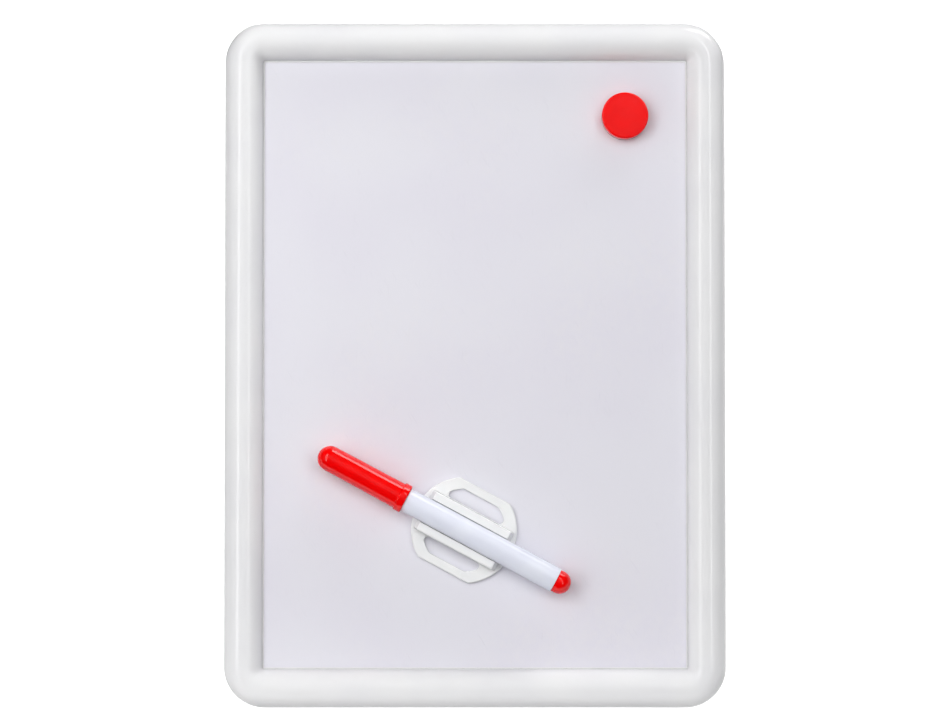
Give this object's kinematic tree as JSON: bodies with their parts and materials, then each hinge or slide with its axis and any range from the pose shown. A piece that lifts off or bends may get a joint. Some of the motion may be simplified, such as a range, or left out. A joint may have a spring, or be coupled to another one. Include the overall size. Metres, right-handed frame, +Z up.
{
  "type": "magnetic desk whiteboard easel",
  "caption": "Small framed magnetic whiteboard that leans on a fold-out rear leg, with a round magnet and a magnetic holder carrying a capped marker.",
  "frame": {"origin": "centre of the footprint on the desk surface", "axes": "+Z up, -Y towards the writer, +X to the writer's right as they face the board"},
  "size_m": [0.216, 0.126, 0.2815],
  "materials": {
    "frame_plastic": "glossy moulded, white",
    "painted_sheet": "gloss enamel, white with a cool cast",
    "hardboard": "raw hardboard",
    "cover_plastic": "fine moulded grain, off-white",
    "zinc_screw": "zinc plated",
    "foot_rubber": "matt dark grey",
    "bracket_steel": "pressed, zinc plated",
    "rivet_metal": "plain",
    "pin_steel": "drawn",
    "leg_plastic": "fine moulded grain, off-white",
    "red_plastic": "glossy moulded, bright red",
    "ferrite": "sintered, dark grey",
    "holder_plastic": "satin moulded, white",
    "barrel_plastic": "glossy, bluish white",
    "felt_fibre": "ink-soaked felt",
    "nib_fibre": "pressed fibre",
    "liner_plastic": "natural"
  },
  "bodies": {
    "board": {"frame_bezel": "frame_plastic", "writing_sheet": "painted_sheet", "core_board": "hardboard", "rear_cover": "cover_plastic", "cover_screws": "zinc_screw", "foot_left": "foot_rubber", "foot_right": "foot_rubber", "hinge_bracket_left": "bracket_steel", "hinge_bracket_right": "bracket_steel", "bracket_rivets": "rivet_metal", "hinge_pin": "pin_steel", "pin_retaining_washer": "pin_steel"},
    "leg": {"easel_leg": "leg_plastic", "leg_shoe": "foot_rubber"},
    "button_magnet": {"magnet_shell": "red_plastic", "magnet_disc": "ferrite"},
    "marker_holder": {"holder_clip": "holder_plastic", "holder_magnets": "ferrite"},
    "marker": {"marker_barrel": "barrel_plastic", "marker_end_plug": "red_plastic", "ink_reservoir": "felt_fibre", "marker_nib": "nib_fibre"},
    "cap": {"marker_cap": "red_plastic", "cap_liner": "liner_plastic"}
  },
  "joints": [
    {"name": "leg_hinge", "type": "hinge", "parent": "board", "child": "leg", "pos_m": [0, 0.01918, 0.1884], "axis": [1, 0, 0], "range_deg": [-33, 0]},
    {"name": "magnet_slide", "type": "slide", "parent": "board", "child": "button_magnet", "axis": [0, 0.342, 0.9397], "range_m": [-0.224, 0.012]},
    {"name": "holder_slide", "type": "slide", "parent": "board", "child": "marker_holder", "axis": [0, 0.342, 0.9397], "range_m": [-0.028, 0.155]},
    {"name": "marker_lift", "type": "slide", "parent": "marker_holder", "child": "marker", "axis": [0, -0.9397, 0.342], "range_m": [0, 0.05]},
    {"name": "cap_pull", "type": "slide", "parent": "marker", "child": "cap", "axis": [-0.8805, 0.1621, 0.4455], "range_m": [0, 0.026]}
  ]
}
